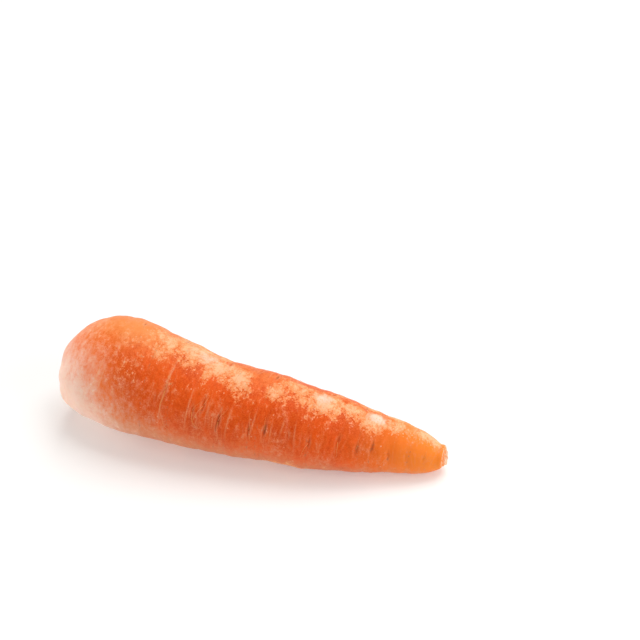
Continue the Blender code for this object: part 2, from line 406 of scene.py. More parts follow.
# Torn fibres at the tip, in millimetres: those outside the rim radius start deeper
FIBRES = 12
FIBRE_PLACES = (4.2, 3.9, 3.2, 2.2, 1.2)
FIBRE_SHARES = (0.9, 1.0)
FIBRE_RIM = 3.5
FIBRE_DEPTHS = (0.9, 0.5)
FIBRE_LENGTHS = (0.2, 0.5)
FIBRE_TURN = 9.0
FIBRE_FLARE = 0.25
FIBRE_RADII = [0.16, 0.15, 0.10, 0.03]

# A cut leaf stalk, in shares of its radius and length: its hollow inner side (depth, spread), ribs
# (height, how many), ragged rim (height, scale, power) and dipped cut (height, scale, drop)
STALK_SIDES = 26
STALK_LEVELS = 9
STALK_HOLLOW = (0.3, 50.0)
STALK_RIBS = (0.045, 7)
STALK_RAGGED = (0.05, 3.0, 6)
STALK_DIP = (0.035, 9.0, 0.012)
STALK_RIM_CUT = 0.6
STALK_SEED_STEP = 1.7
DIP_SEED = 7.0

# Patterns in the materials: (how fine along the root, how fine across it, detail, roughness)
BROAD = (55, 55, 3.0, 0.55)
BLOTCHES = (190, 130, 5.0, 0.7)
MOTTLE = (620, 480, 5.0, 0.68)
FINE_STREAKS = (900, 200, 5.0, 0.6)
GRAIN = (2400, 2000, 3.0, 0.6)
VEINS = (560, 380, 3.0, 0.55)
SPECKS = (290, 250)
PORES = (820, 700)
STALK_STRINGS = (250, 1500, 4.0, 0.55)
STALK_MOTTLE = (700, 700, 6.0, 0.7)
HAIR_MOTTLE = (300, 300, 4.0, 0.55)
FIBRE_MOTTLE = (900, 900, 4.0, 0.55)

# Colours, linear
DEEP_ORANGE = (0.69, 0.060, 0.003, 1.0)
ORANGE = (0.86, 0.095, 0.006, 1.0)
TIP_ORANGE = (1.0, 0.27, 0.026, 1.0)
LIGHT_ORANGE = (0.92, 0.19, 0.03, 1.0)
PEACH = (0.93, 0.32, 0.11, 1.0)
PALE = (0.96, 0.56, 0.32, 1.0)
# Chalky film colour, also painted light where the crown end and the brightest patches wash out
CHALK_AND_PAINTED_LIGHT = (0.98, 0.70, 0.57, 1.0)
# Painted shade and floor reflection on the underside: duller and greyer than the skin
SHADE_AND_REFLECTION_COLOUR = (0.72, 0.26, 0.12, 1.0)
PORE = (0.60, 0.17, 0.05, 1.0)
SCAR_BROWN = (0.36, 0.075, 0.028, 1.0)
# Peach bloom film colour, also painted sheen along the lit crest
BLOOM_AND_SHEEN_COLOUR = (0.95, 0.31, 0.085, 1.0)
SCAR_LIP = (0.92, 0.43, 0.22, 1.0)
STALK_GREEN = (0.30, 0.27, 0.08, 1.0)
STALK_BROWN = (0.20, 0.11, 0.04, 1.0)
STALK_CUT = (0.62, 0.48, 0.22, 1.0)
TORN = (0.98, 0.82, 0.62, 1.0)
HAIR = (0.86, 0.32, 0.07, 1.0)

# The photograph's camera, in metres and degrees, with its lens and sensor in millimetres
CAMERA_AZIMUTH = 16.91
CAMERA_ELEVATION = 38.0
CAMERA_DISTANCE = 0.75
CAMERA_LENS = 96.9
CAMERA_AIM = (0.0033, 0.0829, 0.0)
CAMERA_SENSOR = 36.0

# The studio: the world's light, brighter in a band of heights at the horizon, and the floor's glow,
# which grows between two distances from the carrot
WORLD_COLOUR = (1.0, 0.99, 0.98, 1.0)
WORLD_STRENGTH = 0.165
HORIZON_STRENGTH = 0.85
HORIZON_BAND = (0.06, 0.14)
FLOOR_GLOW = 0.27
FAR_FLOOR_GLOW = 0.85
FAR_FLOOR = (0.8, 2.4)
FLOOR_REACH = 12.0
FLOOR_DEPTH = 0.0001
FLOOR_COLOUR = (0.75, 0.75, 0.75, 1.0)

# Softboxes: name, azimuth, elevation, distance, size, power in watts and colour
SOFTBOXES = [
    ("key_light", 163.0, 65.0, 2.5, 2.2, 58.0, (1.0, 0.98, 0.95)),
    ("crown_light", -76.0, 11.0, 1.0, 0.64, 5.3, (1.0, 0.99, 0.98)),
    ("tip_light", 75.0, 35.0, 0.5, 0.35, 0.88, (1.0, 0.98, 0.95)),
]


def spline(knots, at):
    """A smooth curve through (place, value) knots, read at each place in at."""
    places, values = np.array(knots).T
    slopes = np.gradient(values, places)
    span = np.clip(np.searchsorted(places, at) - 1, 0, len(places) - 2)
    width = places[span + 1] - places[span]
    t = np.clip((at - places[span]) / width, 0.0, 1.0)
    start = values[span] * (1 + 2 * t) * (1 - t) ** 2 + slopes[span] * width * t * (1 - t) ** 2
    end = values[span + 1] * (3 - 2 * t) * t**2 + slopes[span + 1] * width * t**2 * (t - 1)
    return start + end


def outline_points():
    """Points along the outline, closer together at its ends: distances from the crown, radii."""
    distances, radii = np.array(OUTLINE).T
    way = np.concatenate([[0.0], np.cumsum(np.hypot(np.diff(distances), np.diff(radii)))])
    share = np.linspace(0.0, 1.0, RINGS + 1)
    at = way[-1] * (share - RING_BUNCHING * np.sin(2 * math.pi * share) / (2 * math.pi))
    along = spline(list(zip(way, distances)), at)
    radius = spline(list(zip(way, radii)), at)
    radius[[0, -1]] = 0.0
    return along, radius


def scars():
    """Every side-root scar as (distance from the crown, degrees round, share of the full size)."""
    draw = random.Random(SCAR_SEED)
    found = [(along, facing, 1.0) for along, facing in FRONT_SCARS]
    for row in OTHER_ROWS:
        along = ROW_START + draw.uniform(0.0, ROW_SPACING)
        while along < ROW_END:
            facing = row + draw.uniform(-ROW_WANDER, ROW_WANDER)
            found.append((along, facing, draw.uniform(*SIZE_SHARES)))
            along += ROW_SPACING * draw.uniform(*SPACING_SHARES)
    return found


def turned_from(facing, angle):
    """How far angle is from facing, between -180 and 180 degrees."""
    return (angle - facing + 180.0) % 360.0 - 180.0


def bell(distance, reach):
    """1 at no distance, 0.37 at the reach, and soon nothing."""
    return np.exp(-((distance / reach) ** 2))


def smooth_step(value, low, high):
    """Goes smoothly from 0 to 1 as value goes from low to high."""
    t = np.clip((value - low) / (high - low), 0.0, 1.0)
    return t * t * (3 - 2 * t)


def centre_line(along):
    """The middle of the lying root at each distance from the crown, as (y, z) in millimetres."""
    body = [(distance, radius) for distance, radius in OUTLINE if distance >= SHOULDER_END]
    lying_on = spline(body, np.maximum(along, SHOULDER_END))
    return spline(SIDEWAYS, along), lying_on - FLAT_DEPTH + spline(END_LIFT, along)


class Net:
    """The skin's net: a row for each ring, a column for each side, and relief in millimetres."""

    def __init__(self, along, radius, angle):
        self.along = along
        self.radius = radius
        self.angle = angle
        self.relief = np.zeros((len(along), len(angle)))
        self.marks = {}

    def layer(self, name):
        """The painted layer of that name, from 0 to 1."""
        return self.marks.setdefault(name, np.zeros_like(self.relief))

    def window(self, place, facing, reach):
        """The rings within reach of a place, and how far along and across their points are."""
        rows = np.flatnonzero(np.abs(self.along - place) < reach)
        across = np.radians(turned_from(facing, self.angle))[None, :] * self.radius[rows, None]
        return rows, self.along[rows, None] - place, across

    def add_bell(self, target, place, facing, shape):
        """Adds a bell to target; its shape is (height, reach along, reach round)."""
        height, reach_along, reach_round = shape
        rows, ahead, across = self.window(place, facing, BELL_CUT * reach_along)
        target[rows] += height * bell(ahead, reach_along) * bell(across, reach_round)

    def patch(self, place, facing, reach, spread, strength):
        """A broad soft spot all over the net; its spread is in degrees round the root."""
        ahead = bell(self.along - place, reach)[:, None]
        return strength * ahead * bell(turned_from(facing, self.angle), spread)[None, :]


def main_relief(net):
    """The relief that the solid has too."""
    along = net.along[:, None]
    radius = net.radius[:, None]
    angle = net.angle[None, :]
    relief = np.zeros_like(net.relief)
    for corners, share, turn, twist in LOBES:
        relief += radius * share * np.cos(np.radians(corners * (angle - turn - twist * along)))
    for place, facing, height, reach, spread in SWELLINGS:
        relief += height * bell(along - place, reach) * bell(turned_from(facing, angle), spread)
    for length, height, lead in WAVES:
        once = np.sin(np.radians(angle + lead))
        twice = TWICE_SHARE * np.sin(np.radians(2 * angle - lead))
        relief += height * np.sin(2 * math.pi * along / length + (once + twice))
    count, height, place, reach = CROWN_FOLDS
    folded = count * angle + FOLD_WANDER * np.sin(np.radians(2 * angle))
    relief += height * bell(along - place, reach) * np.cos(np.radians(folded))
    for place, facing, size in scars():
        for depth, reach_along, reach_round in (SLIT, FURROW):
            net.add_bell(relief, place, facing, (-depth * size, reach_along, reach_round * size))
    return relief


def relief_fade(net):
    """How much of the relief shows: none at the middles of the two ends, all on the body."""
    thin, thick = RELIEF_RADII
    return np.clip((net.radius[:, None] - thin) / (thick - thin), 0.0, 1.0)


def scar_looks():
    """Every scar's looks as (distance from the crown, degrees round, size, darkness, lean)."""
    draw = random.Random(RELIEF_SEED + 3)
    for index, (place, facing, size) in enumerate(scars()):
        if index < len(FRONT_LOOKS):
            yield place, facing, *FRONT_LOOKS[index]
        else:
            yield place, facing, size, draw.uniform(*OTHER_DARKNESS), draw.uniform(*OTHER_LEANS)


def streak(net, relief, place, facing, length, lean, strength):
    """A thin pale line across the skin, slightly raised."""
    rows, ahead, across = net.window(place, facing, MARK_REACH)
    line = strength * bell(ahead - lean * across, STREAK_WIDTH) * bell(across, length)
    relief[rows] += STREAK_HEIGHT * line
    net.layer("lip")[rows] = np.maximum(net.layer("lip")[rows], line)


def scar_details(net, relief):
    """Each scar as a narrow open slit with raised pale lips, and thin lines beside it."""
    draw = random.Random(RELIEF_SEED + 4)
    for place, facing, size, darkness, lean in scar_looks():
        rows, ahead, across = net.window(place, facing, MARK_REACH)
        ahead = np.abs(ahead - lean * across)
        opening = SCAR_WIDTH * size * np.clip(1 - (across / (SCAR_LENGTH * size)) ** 2, 0.0, 1.0)
        core = smooth_step(opening - ahead, *SCAR_CORE)
        lip = bell(ahead - opening - LIP_WIDTH, LIP_WIDTH) * bell(across, LIP_LENGTH * size)
        relief[rows] += LIP_HEIGHT * lip - SCAR_DEPTH * size * core
        net.layer("slit")[rows] = np.maximum(net.layer("slit")[rows], darkness * core)
        faded = np.interp(place, *LINE_FADE)
        net.layer("lip")[rows] = np.maximum(net.layer("lip")[rows], LIP_PALENESS * faded * lip)
        for _ in range(SIDE_LINES):
            beside = place + draw.choice((-1, 1)) * draw.uniform(*LINE_OFFSETS)
            turned = facing + draw.uniform(-LINE_TURN, LINE_TURN)
            length = draw.uniform(*LINE_LENGTHS)
            strength = faded * draw.uniform(*LINE_STRENGTHS)
            streak(net, relief, beside, turned, length, lean + draw.uniform(*LINE_LEANS), strength)
    for place, facing, length, lean, strength in STREAKS:
        streak(net, relief, place, facing, length, lean, strength)


def creases(net, relief):
    """Thin cross creases all over, with pale dry edges."""
    draw = random.Random(RELIEF_SEED)
    height, reach_along, reach_round = CREASE
    beside, edge_reach = CREASE_EDGE
    for _ in range(CREASES):
        place = draw.uniform(*CREASE_PLACES)
        facing = draw.uniform(0.0, 360.0)
        size = draw.uniform(*CREASE_SIZES)
        spread = reach_round * draw.uniform(*CREASE_SPREADS)
        net.add_bell(relief, place, facing, (height * size, reach_along, spread))
        net.add_bell(net.layer("crease"), place + beside, facing, (size, edge_reach, spread))


def pimples(net, relief):
    """Small round bumps all over."""
    draw = random.Random(RELIEF_SEED + 1)
    height, reach_along, reach_round = PIMPLE
    for _ in range(PIMPLES):
        size = draw.uniform(*PIMPLE_SIZES)
        shape = (height * size, reach_along * size, reach_round * size)
        net.add_bell(relief, draw.uniform(*PIMPLE_PLACES), draw.uniform(0.0, 360.0), shape)


def unevenness(net):
    """Soft lumps, a little longer round the root than along it."""
    turn = np.radians(net.angle)
    lumps = np.zeros_like(net.relief)
    for height, length in UNEVEN:
        for row, (along, radius) in enumerate(zip(net.along, net.radius)):
            y = radius * np.cos(turn) / (UNEVEN_STRETCH * length)
            z = radius * np.sin(turn) / (UNEVEN_STRETCH * length)
            lumps[row] += [height * noise.noise((along / length, a, b)) for a, b in zip(y, z)]
    return lumps


def tip_tear(net):
    """The ragged, domed, pale end where the tap root broke off; gives its shift along the root."""
    end = smooth_step(net.along, TIP_START, TIP_START + TEAR_FADE)[:, None]
    torn_rows = np.flatnonzero(end[:, 0] > 0)
    turn = np.radians(net.angle)
    ragged = np.zeros_like(net.relief)
    for row in torn_rows:
        y = net.radius[row] * np.cos(turn) * TEAR_GRAIN
        z = net.radius[row] * np.sin(turn) * TEAR_GRAIN
        ragged[row] = [noise.turbulence((a, b, TEAR_LEVEL), TEAR_OCTAVES, True) for a, b in zip(y, z)]
    facing, spread = TORN_SIDE
    palest = bell(turned_from(facing, net.angle), spread)
    ridges = RIDGE_PALENESS * np.sin(RIDGES * (net.along[:, None] + ragged))
    net.layer("tear")[:] = end * (TEAR_PALENESS + ridges + palest)
    dome = TIP_DOME * (net.radius[:, None] / net.radius[torn_rows].max()) ** 2
    return end * (TEAR_HEIGHT * (ragged - TEAR_MIDDLE) - dome)


def paint_patches(net):
    """Where the skin is dry and pale, with painted highlight along the crest; its films with painted
    light and shade; and where it is bare and orange in the midst of the pale patches.
    """
    blush = net.layer("blush")
    draw = random.Random(RELIEF_SEED + 2)
    hidden = [[draw.uniform(*limits) for limits in HIDDEN_RANGES] for _ in range(HIDDEN_BLUSH)]
    for spot in BLUSH_AND_HIGHLIGHT + hidden:
        np.maximum(blush, net.patch(*spot), out=blush)
    for name, spots in FILMS_AND_PAINTED_LIGHT.items():
        for spot in spots:
            net.layer(name)[:] += net.patch(*spot)
    for spot in BARE:
        blush -= net.patch(*spot)
    np.clip(blush, 0.0, 1.0, out=blush)


def side_angles():
    """The net's angles, closer together at the rows of scars."""
    even = np.linspace(0.0, 360.0, SIDE_SAMPLES)
    near = sum(bell(turned_from(row, even), SIDE_BUNCH_REACH) for row in [FRONT_ROW] + OTHER_ROWS)
    density = 1.0 + SIDE_BUNCHING * near
    way = np.concatenate([[0.0], np.cumsum((density[1:] + density[:-1]) / 2)])
    return np.interp(np.linspace(0.0, way[-1], SIDES, endpoint=False), way, even)


def lying_points(along, angle, radius):
    """Places on the lying root, in millimetres, before its footprint is centred."""
    side, height = centre_line(along)
    turn = np.radians(angle)
    x = along - LENGTH / 2
    y = side + radius * np.cos(turn)
    z = np.maximum(height + radius * np.sin(turn), 0.0)
    return np.stack(np.broadcast_arrays(x, y, z), axis=-1)


def net_faces(rings, sides):
    """The net's faces, with its two poles as the last two points."""
    faces = []
    for ring in range(rings - 1):
        faces += band(ring * sides, (ring + 1) * sides, sides)
    first_pole, last_pole = rings * sides, rings * sides + 1
    last = (rings - 1) * sides
    for side in range(sides):
        after = (side + 1) % sides
        faces.append((first_pole, after, side))
        faces.append((last_pole, last + side, last + after))
    return faces


def new_piece(name, points, faces, material):
    """A smooth mesh piece from points in millimetres, in place of the carrot's solid."""
    mesh = bpy.data.meshes.new(name)
    mesh.from_pydata((np.asarray(points) * MM).tolist(), [], faces)
    mesh.materials.append(material)
    mesh.shade_smooth()
    mesh.update()
    piece = bpy.data.objects.new(name, mesh)
    bpy.context.scene.collection.objects.link(piece)
    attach(piece, "root")
    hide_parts("carrot")
    return piece


def add_layer(mesh, name, values):
    """Puts a painted layer on a mesh, with one value for each point."""
    attribute = mesh.attributes.new(name, "FLOAT", "POINT")
    attribute.data.foreach_set("value", np.asarray(values, np.float32))


class Shade:
    """A material whose nodes are added by short calls."""

    def __init__(self, name):
        self.material = bpy.data.materials.new(name)
        self.material.use_nodes = True
        self.tree = self.material.node_tree
        self.shader = self.tree.nodes["Principled BSDF"]
        self.place = self.add("ShaderNodeTexCoord").outputs["Object"]

    def add(self, kind, inputs=None, **settings):
        """A new node with those settings, and a value or another node's output on each input."""
        made = self.tree.nodes.new(kind)
        for name, value in settings.items():
            setattr(made, name, value)
        for name, value in (inputs or {}).items():
            self.put(made.inputs[name], value)
        return made

    def put(self, socket, value):
        if isinstance(value, bpy.types.NodeSocket):
            self.tree.links.new(value, socket)
        else:
            socket.default_value = value

    def scaled(self, along, across):
        """The place on the object, in units of that many a metre along the root and across it."""
        inputs = {"Vector": self.place, "Scale": (along, across, across)}
        return self.add("ShaderNodeMapping", inputs).outputs["Vector"]

    def noise(self, along, across, detail, roughness):
        """A soft pattern, that many times finer than a metre along the root and across it."""
        inputs = {"Vector": self.scaled(along, across), "Scale": 1.0, "Detail": detail}
        inputs["Roughness"] = roughness
        return self.add("ShaderNodeTexNoise", inputs).outputs["Fac"]

    def voronoi(self, along, across):
        """The distance from the nearest of many scattered points."""
        inputs = {"Vector": self.scaled(along, across), "Scale": 1.0}
        return self.add("ShaderNodeTexVoronoi", inputs).outputs["Distance"]

    def weigh(self, first, *others):
        """The first value plus each other one times its weight."""
        for value, weight in others:
            inputs = {0: value, 1: weight, 2: first}
            first = self.add("ShaderNodeMath", inputs, operation="MULTIPLY_ADD").outputs[0]
        return first

    def between(self, value, low, high, start=0.0, end=1.0):
        """Goes smoothly from start to end as value goes from low to high."""
        inputs = {"Value": value, "From Min": low, "From Max": high}
        inputs.update({"To Min": start, "To Max": end})
        made = self.add("ShaderNodeMapRange", inputs, interpolation_type="SMOOTHSTEP")
        return made.outputs["Result"]

    def maths(self, operation, first, second=0.0):
        return self.add("ShaderNodeMath", {0: first, 1: second}, operation=operation).outputs[0]

    def times(self, first, second):
        return self.maths("MULTIPLY", first, second)

    def layer(self, name):
        return self.add("ShaderNodeAttribute", attribute_name=name).outputs["Fac"]

    def mix(self, factor, first, second):
        made = self.add("ShaderNodeMix", {0: factor, 6: first, 7: second}, data_type="RGBA")
        return made.outputs[2]

    def bump(self, height, strength, distance, below=None):
        inputs = {"Height": height, "Strength": strength, "Distance": distance}
        if below is not None:
            inputs["Normal"] = below
        return self.add("ShaderNodeBump", inputs).outputs["Normal"]

    def finish(self, **inputs):
        """Puts the shader's inputs, named with _ for a space."""
        for name, value in inputs.items():
            self.put(self.shader.inputs[name.replace("_", " ")], value)
        return self.material


class SkinShade(Shade):
    """The skin's material, layer by layer over patterns that the layers share."""

    def __init__(self):
        super().__init__("carrot_skin_fine")
        self.blotches = self.noise(*BLOTCHES)
        self.mottle = self.noise(*MOTTLE)
        self.streaks = self.noise(*FINE_STREAKS)
        self.grain = self.noise(*GRAIN)
        self.pores = self.voronoi(*PORES)
        # The pale patches, partly painted highlight along the crest, with their fringe and cover
        dry = self.mottled("blush", 1.7, 1.6, 0.9)
        self.fringe = self.between(dry, 2.3, 2.56)
        self.cover = self.between(dry, 2.52, 2.66)

    def mottled(self, name, blotches, mottle, grain):
        """A painted layer with that much of each pattern, which breaks up its edge."""
        patterns = ((self.blotches, blotches), (self.mottle, mottle), (self.grain, grain))
        return self.weigh(self.layer(name), *patterns)

    def base(self):
        """Deep to lighter orange, and yellower towards the tip."""
        tone = self.weigh(self.noise(*BROAD), (self.mottle, 0.9))
        colour = self.mix(self.between(tone, 0.75, 1.15), DEEP_ORANGE, ORANGE)
        colour = self.mix(self.layer("tipward"), colour, TIP_ORANGE)
        colour = self.mix(self.between(self.streaks, 0.5, 0.75, 0.0, 0.25), colour, LIGHT_ORANGE)
        return self.mix(self.between(self.grain, 0.42, 0.62, 0.0, 0.4), colour, LIGHT_ORANGE)

    def with_films_and_painted_light(self, colour):
        """Thin dry films with painted light, sheen, shade and floor reflection, and lighter skin
        under the chalky film at the crown.
        """
        under_chalk_and_light = self.between(self.layer("chalky"), 0.0, 0.35, 0.0, 0.85)
        colour = self.mix(under_chalk_and_light, colour, LIGHT_ORANGE)
        # Painted shade and floor reflection below, a bloom film with painted sheen on the crest, and
        # a chalky film with painted light at the crown
        for name, overlay_colour in (("dusty", SHADE_AND_REFLECTION_COLOUR), ("bloom", BLOOM_AND_SHEEN_COLOUR), ("chalky", CHALK_AND_PAINTED_LIGHT)):
            overlay = self.mottled(name, 0.9, 0.9, 0.4)
            colour = self.mix(self.between(overlay, 1.08, 2.2, 0.0, 0.93), colour, overlay_colour)
        return colour

    def with_patches(self, colour):
        """Dry pale patches, partly painted highlight along the crest, with a lacy fringe, thicker in
        their middle, and with darker pores.
        """
        vein = self.maths("ABSOLUTE", self.maths("SUBTRACT", self.noise(*VEINS), 0.5))
        lacy = self.between(self.fringe, 0.0, 1.0, 0.05, 0.8)
        colour = self.mix(self.times(self.between(vein, 0.026, 0.006), lacy), colour, PEACH)
        thick = self.between(self.mottled("blush", 1.6, 1.8, 1.2), 2.9, 3.35)
        # The chalky layer whitens the patches where it lies, partly as painted light
        chalked_and_lit = self.weigh(self.layer("chalky"), (self.mottle, 0.8))
        dry = self.mix(self.between(chalked_and_lit, 0.5, 1.1), self.mix(thick, PEACH, PALE), CHALK_AND_PAINTED_LIGHT)
        colour = self.mix(self.times(self.cover, 0.85), colour, dry)
        pored = self.times(self.between(self.pores, 0.2, 0.1, 0.0, 0.55), self.cover)
        return self.mix(pored, colour, PORE)

    def with_specks(self, colour):
        """Pale dots, grit round the patches, and the pale edges of the creases."""
        dots = self.between(self.voronoi(*SPECKS), 0.1, 0.05)
        dots = self.times(dots, self.between(self.mottle, 0.46, 0.54, 0.0, 0.7))
        colour = self.mix(dots, colour, PALE)
        gritty = self.between(self.fringe, 0.2, 1.0, 0.0, 0.6)
        colour = self.mix(self.times(self.between(self.pores, 0.36, 0.2), gritty), colour, PALE)
        return self.mix(self.times(self.layer("crease"), 0.14), colour, PEACH)

    def with_scars(self, colour):
        """Broken pale lips and lines, and brown slits."""
        broken = self.between(self.grain, 0.36, 0.56, 0.5, 0.95)
        colour = self.mix(self.times(self.layer("lip"), broken), colour, SCAR_LIP)
        rotten = self.weigh(self.layer("slit"), (self.mottle, 1.8), (self.grain, 1.2))
        return self.mix(self.between(rotten, 1.8, 2.55, 0.0, 0.72), colour, SCAR_BROWN)

    def with_ends(self, colour):
        """The stained crown pit and the pale torn tip."""
        stained = self.weigh(self.layer("pit"), (self.mottle, 1.0), (self.grain, 0.6))
        stain = self.mix(self.between(self.mottle, 0.4, 0.6), STALK_GREEN, STALK_BROWN)
        colour = self.mix(self.between(stained, 1.0, 1.7), colour, stain)
        torn = self.weigh(self.layer("tear"), (self.grain, 0.5))
        return self.mix(self.between(torn, 0.4, 1.1), colour, TORN)

    def bumps(self):
        """The finest relief; each bump's height is in metres."""
        normal = self.bump(self.grain, 0.35, 0.00015)
        normal = self.bump(self.mottle, 0.4, 0.00035, normal)
        return self.bump(self.streaks, 0.3, 0.0003, normal)


def skin_material():
    """Orange root skin with dry films, painted light and shade, pale patches partly painted
    highlight, specks, scars, and its two ends.
    """
    shade = SkinShade()
    colour = shade.with_films_and_painted_light(shade.base())
    colour = shade.with_specks(shade.with_patches(colour))
    colour = shade.with_ends(shade.with_scars(colour))
    uneven = shade.between(shade.mottle, 0.35, 0.65, 0.38, 0.5)
    return shade.finish(
        Base_Color=colour,
        Roughness=shade.weigh(uneven, (shade.cover, 0.16)),
        Normal=shade.bumps(),
        Subsurface_Weight=0.12,
        Subsurface_Radius=(1.0, 0.28, 0.08),
        Subsurface_Scale=0.002,
        Specular_IOR_Level=0.1,
    )


def stalk_material():
    """Cut leaf stalks: green-brown and stringy along their sides, paler where they are cut."""
    shade = Shade("leaf_stalk")
    strings = shade.noise(*STALK_STRINGS)
    mottle = shade.noise(*STALK_MOTTLE)
    side = shade.mix(shade.between(strings, 0.4, 0.62), STALK_BROWN, STALK_GREEN)
    cut = shade.mix(shade.between(mottle, 0.42, 0.6), STALK_BROWN, STALK_CUT)
    colour = shade.mix(shade.layer("cut"), side, cut)
    normal = shade.bump(strings, 0.6, 0.0004, shade.bump(mottle, 0.4, 0.0003))
    return shade.finish(Base_Color=colour, Roughness=0.75, Normal=normal)


def hair_material():
    """Dry root hairs, light orange and peach-coloured."""
    shade = Shade("root_hair")
    colour = shade.mix(shade.between(shade.noise(*HAIR_MOTTLE), 0.42, 0.62), HAIR, PEACH)
    return shade.finish(Base_Color=colour, Roughness=0.6)


def torn_material():
    """Dry torn fibres at the tip."""
    shade = Shade("torn_fibre")
    colour = shade.mix(shade.between(shade.noise(*FIBRE_MOTTLE), 0.4, 0.6), TORN, PEACH)
    return shade.finish(Base_Color=colour, Roughness=0.8)


def build_net():
    """The skin's net with all its relief and painted layers."""
    along, radius = outline_points()
    net = Net(along[1:-1], radius[1:-1], side_angles())
    fine = np.zeros_like(net.relief)
    scar_details(net, fine)
    creases(net, fine)
    pimples(net, fine)
    paint_patches(net)
    net.relief = (main_relief(net) + fine + unevenness(net)) * relief_fade(net)
    net.layer("tipward")[:] = smooth_step(net.along, *TIPWARD)[:, None]
    at_crown = net.along < SHOULDER_END
    net.layer("pit")[:] = np.where(at_crown, 1 - smooth_step(net.radius, *PIT_STAIN), 0.0)[:, None]
    return net


def footprint_shift(points):
    """What centres the skin's footprint as the solid's is, in millimetres."""
    low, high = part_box("carrot")
    middle = (points[:, 1].min() + points[:, 1].max()) / 2
    return np.array([high.x / MM - LENGTH / 2, (low.y + high.y) / 2 / MM - middle, 0.0])


def add_skin(net, material):
    """The fine skin, and the shift that all other pieces share with it."""
    rings, sides = net.relief.shape
    tear = tip_tear(net)
    radius = net.radius[:, None] + net.relief
    points = lying_points(net.along[:, None], net.angle[None, :], radius)
    points[..., 0] += tear
    poles = lying_points(np.array([OUTLINE[0][0], LENGTH]), np.zeros(2), np.zeros(2))
    points = np.concatenate([points.reshape(-1, 3), poles])
    shift = footprint_shift(points)
    skin = new_piece("carrot_skin", points + shift, net_faces(rings, sides), material)
    for name, values in net.marks.items():
        ends = [values[0].mean(), values[-1].mean()]
        add_layer(skin.data, name, np.clip(np.concatenate([values.ravel(), ends]), 0.0, 1.0))
    return shift


def band(low, high, sides):
    """The faces between two rings of points, which start at low and at high."""
    faces = []
    for side in range(sides):
        after = (side + 1) % sides
        faces.append((low + side, low + after, high + after, high + side))
    return faces


def tube(points, radii, sides):
    """A closed tube along the points, as its own points and faces."""
    rings = []
    for index, (point, radius) in enumerate(zip(points, radii)):
        ahead = Vector(points[min(index + 1, len(points) - 1)]) - Vector(points[max(index - 1, 0)])
        turn = ahead.to_track_quat("Z", "Y")
        for side in range(sides):
            angle = 2 * math.pi * side / sides
            outward = Vector((radius * math.cos(angle), radius * math.sin(angle), 0.0))
            rings.append(Vector(point) + turn @ outward)
    faces = []
    for index in range(len(points) - 1):
        faces += band(index * sides, (index + 1) * sides, sides)
    faces.append(tuple(reversed(range(sides))))
    faces.append(tuple(range((len(points) - 1) * sides, len(points) * sides)))
    return rings, faces


def join_shapes(shapes):
    """Several (points, faces) as one."""
    points, faces = [], []
    for more_points, more_faces in shapes:
        faces += [tuple(index + len(points) for index in face) for face in more_faces]
        points += [tuple(point) for point in more_points]
    return points, faces


def place_on_skin(net, along, angle, lift):
    """The place behind the shoulder with that distance, degrees round, and height above the skin."""
    start = np.flatnonzero(net.along > SHOULDER_END)[0]
    row = start + np.searchsorted(net.along[start:], along)
    row = int(np.clip(row, start, len(net.along) - 1))
    side = int(np.argmin(np.abs(turned_from(net.angle, angle % 360.0))))
    radius = net.radius[row] + net.relief[row, side] + lift
    return lying_points(np.array(along), np.array(angle), np.array(radius))


def hair_plans(draw):
    """Each hair as (distance from the crown, degrees round, length, radius, lean, way round)."""
    plans = [(*FRONT_SCARS[scar], *hair) for scar, *hair in FRONT_HAIRS]
    for place, facing, size in scars()[len(FRONT_SCARS):]:
        if draw.random() < HAIR_CHANCE:
            way = draw.choice((-1, 1))
            length = draw.uniform(*HAIR_LENGTHS) * size
            radius = draw.uniform(*HAIR_RADII)
            plans.append((place, facing, length, radius, draw.uniform(*HAIR_LEANS), way))
    return plans


def hair_shape(plan, net, shift, draw):
    """One hair, which wanders round the root just above its skin."""
    along, angle, length, thickness, lean, way = plan
    past_pit = len(net.along) // 4
    steps = max(4, int(length / HAIR_STEP))
    curl = draw.uniform(-1.0, 1.0)
    heading = math.radians(lean)
    points, radii = [], []
    for step in range(steps + 1):
        share = step / steps
        arch = HAIR_ARCH * math.sin(math.pi * share) * draw.uniform(*ARCH_SHARES)
        lift = HAIR_LIFT + arch if step else HAIR_ROOT
        point = place_on_skin(net, along, angle, lift) + shift
        point[2] = max(point[2], thickness)
        points.append(point)
        radii.append(thickness * (1.0 - HAIR_TAPER * share))
        heading += curl * HAIR_CURL + draw.uniform(*HAIR_WANDER)
        radius = float(np.interp(along, net.along[past_pit:], net.radius[past_pit:]))
        along += HAIR_STEP * math.sin(heading)
        angle += way * math.degrees(HAIR_STEP * math.cos(heading) / radius)
    return tube(points, radii, HAIR_SIDES)


def add_hairs(net, shift, material):
    """Thin dry hairs that come out of the scars and lie across the skin."""
    draw = random.Random(HAIR_SEED)
    shapes = [hair_shape(plan, net, shift, draw) for plan in hair_plans(draw)]
    new_piece("side_root_hairs", *join_shapes(shapes), material)


def stub_place(turn, distance, size, draw):
    """Where a stub stands: its X points away from the root's axis, and its Z out of the crown."""
    outward = Vector((0.0, math.cos(turn), math.sin(turn)))
    upward = Vector((-1.0, 0.0, 0.0))
    axes = Matrix((outward, upward.cross(outward), upward)).transposed()
    tilt = math.radians(draw.uniform(-STUB_TILT, STUB_TILT))
    lean = Euler((tilt, math.radians(STUB_LEAN), 0.0)).to_matrix()
    side, height = (float(value[0]) for value in centre_line(np.zeros(1)))
    foot = Vector((STUB_ROOT - LENGTH / 2, side, height)) + outward * distance
    upright = Matrix.Translation((0.0, 0.0, size[2] / 2)) @ Matrix.Diagonal((*size, 1.0))
    return Matrix.Translation(foot) @ (axes @ lean).to_4x4() @ upright


